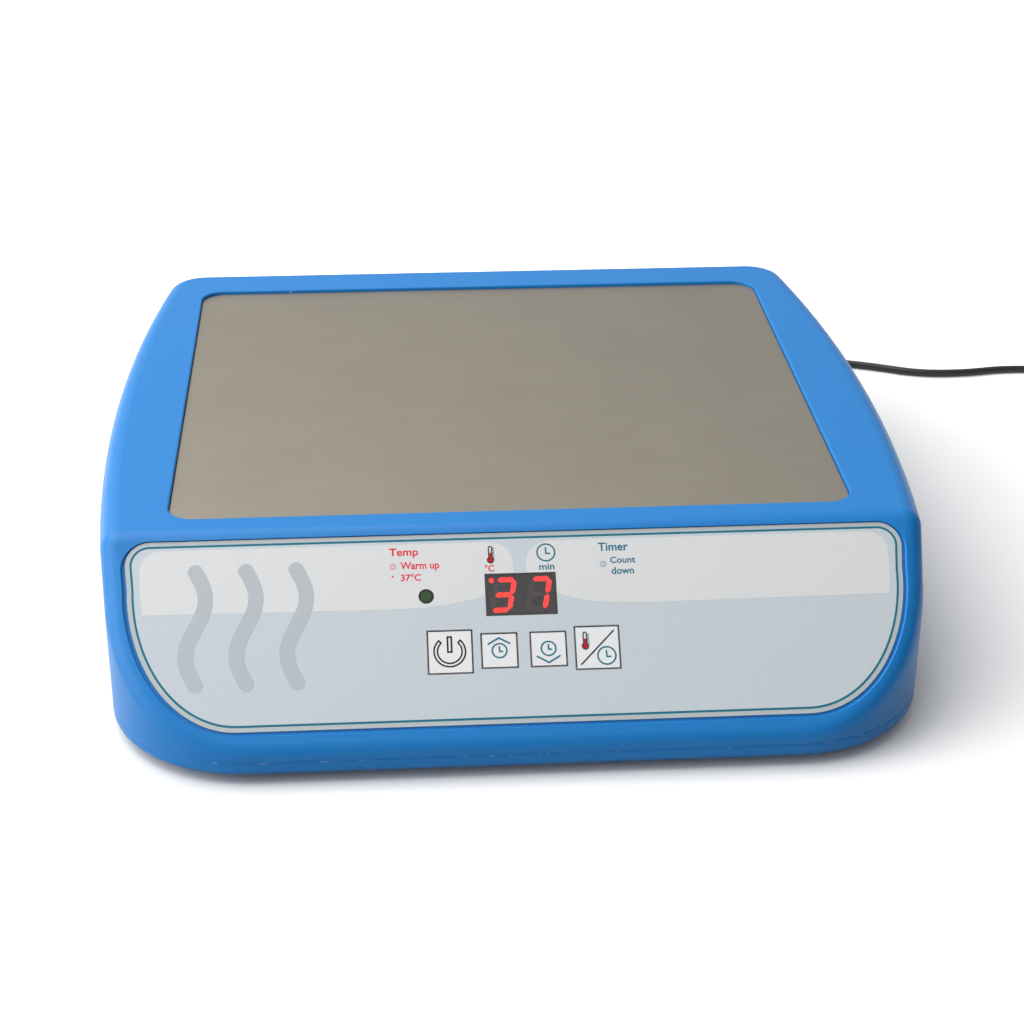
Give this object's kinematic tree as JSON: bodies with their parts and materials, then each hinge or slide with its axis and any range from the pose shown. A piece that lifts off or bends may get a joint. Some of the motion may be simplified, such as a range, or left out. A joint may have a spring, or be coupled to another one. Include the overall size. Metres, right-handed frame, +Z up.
{
  "type": "laboratory warming plate",
  "caption": "Low benchtop warming plate: a blue casing round a flat heated metal plate, a sloped key panel with a lit display, and a thin low-voltage lead with its adapter.",
  "frame": {"origin": "on the surface that the feet stand on, below the middle of the casing", "axes": "+Z up, +X to the right as the panel is faced, the panel faces -Y"},
  "size_m": [0.446, 0.3414, 0.0562],
  "materials": {
    "casing_blue": "satin moulded plastic, mid blue",
    "base_blue": "satin moulded plastic, mid blue",
    "foot_rubber": "matt rubber",
    "zinc_steel": "zinc plated",
    "plate_metal": "brushed along the width, satin anodised",
    "gasket_silicone": "silicone rubber",
    "raw_aluminium": "mill finish",
    "heater_silicone": "orange-red silicone mat",
    "insulation_foam": "glass felt",
    "black_plastic": "moulded, matt",
    "overlay_print": "printed film, matt",
    "window_clear": "clear tinted film",
    "display_body": "moulded, satin",
    "segment_red": "lit red epoxy",
    "lamp_green": "dark green epoxy, unlit",
    "key_white": "printed film, matt",
    "board_green": "solder mask",
    "connector_white": "nylon",
    "jack_black": "moulded, satin",
    "wire_red": "PVC insulation",
    "wire_white": "silicone insulation",
    "cord_black": "soft PVC",
    "tie_black": "woven hook-and-loop strap",
    "adapter_black": "fine texture",
    "blade_nickel": "nickel plated"
  },
  "bodies": {
    "casing": {"top_cover": "casing_blue", "base_pan": "base_blue", "foot_front_left": "foot_rubber", "foot_front_right": "foot_rubber", "foot_rear_left": "foot_rubber", "foot_rear_right": "foot_rubber", "housing_screws": "zinc_steel", "heating_plate": "plate_metal", "plate_gasket": "gasket_silicone", "heat_spreader": "raw_aluminium", "temperature_sensor": "zinc_steel", "foil_heater": "heater_silicone", "insulation_pad": "insulation_foam", "heater_tray": "zinc_steel", "tray_screws": "zinc_steel", "thermal_cutout": "black_plastic", "panel_overlay": "overlay_print", "display_window": "window_clear", "display_module": "display_body", "display_segments": "segment_red", "lamp_lens": "lamp_green", "status_lamp": "lamp_green", "switch_bodies": "black_plastic", "control_board": "board_green", "board_screws": "zinc_steel", "controller_chip": "black_plastic", "buzzer": "black_plastic", "capacitors": "raw_aluminium", "power_transistor": "black_plastic", "transistor_heat_sink": "raw_aluminium", "board_connectors": "connector_white", "power_jack": "jack_black", "jack_nut": "zinc_steel", "power_leads": "wire_red", "heater_leads": "wire_white", "sensor_leads": "wire_white", "barrel_plug": "cord_black", "plug_strain_relief": "cord_black", "power_cord": "cord_black", "cord_coil": "cord_black", "cord_tail": "cord_black", "coil_tie": "tie_black", "adapter_strain_relief": "cord_black", "power_adapter": "adapter_black", "adapter_blades": "blade_nickel"},
    "power_key_body": {"power_key": "key_white", "power_switch_button": "black_plastic"},
    "up_key_body": {"up_key": "key_white", "up_switch_button": "black_plastic"},
    "down_key_body": {"down_key": "key_white", "down_switch_button": "black_plastic"},
    "mode_key_body": {"mode_key": "key_white", "mode_switch_button": "black_plastic"}
  },
  "joints": [
    {"name": "power_key_press", "type": "slide", "parent": "casing", "child": "power_key_body", "axis": [0, 0.682, -0.7314], "range_m": [0, 0.00035], "stiffness_N_per_m": 1000, "springref_m": -0.001},
    {"name": "up_key_press", "type": "slide", "parent": "casing", "child": "up_key_body", "axis": [0, 0.682, -0.7314], "range_m": [0, 0.00035], "stiffness_N_per_m": 1000, "springref_m": -0.001},
    {"name": "down_key_press", "type": "slide", "parent": "casing", "child": "down_key_body", "axis": [0, 0.682, -0.7314], "range_m": [0, 0.00035], "stiffness_N_per_m": 1000, "springref_m": -0.001},
    {"name": "mode_key_press", "type": "slide", "parent": "casing", "child": "mode_key_body", "axis": [0, 0.682, -0.7314], "range_m": [0, 0.00035], "stiffness_N_per_m": 1000, "springref_m": -0.001}
  ]
}
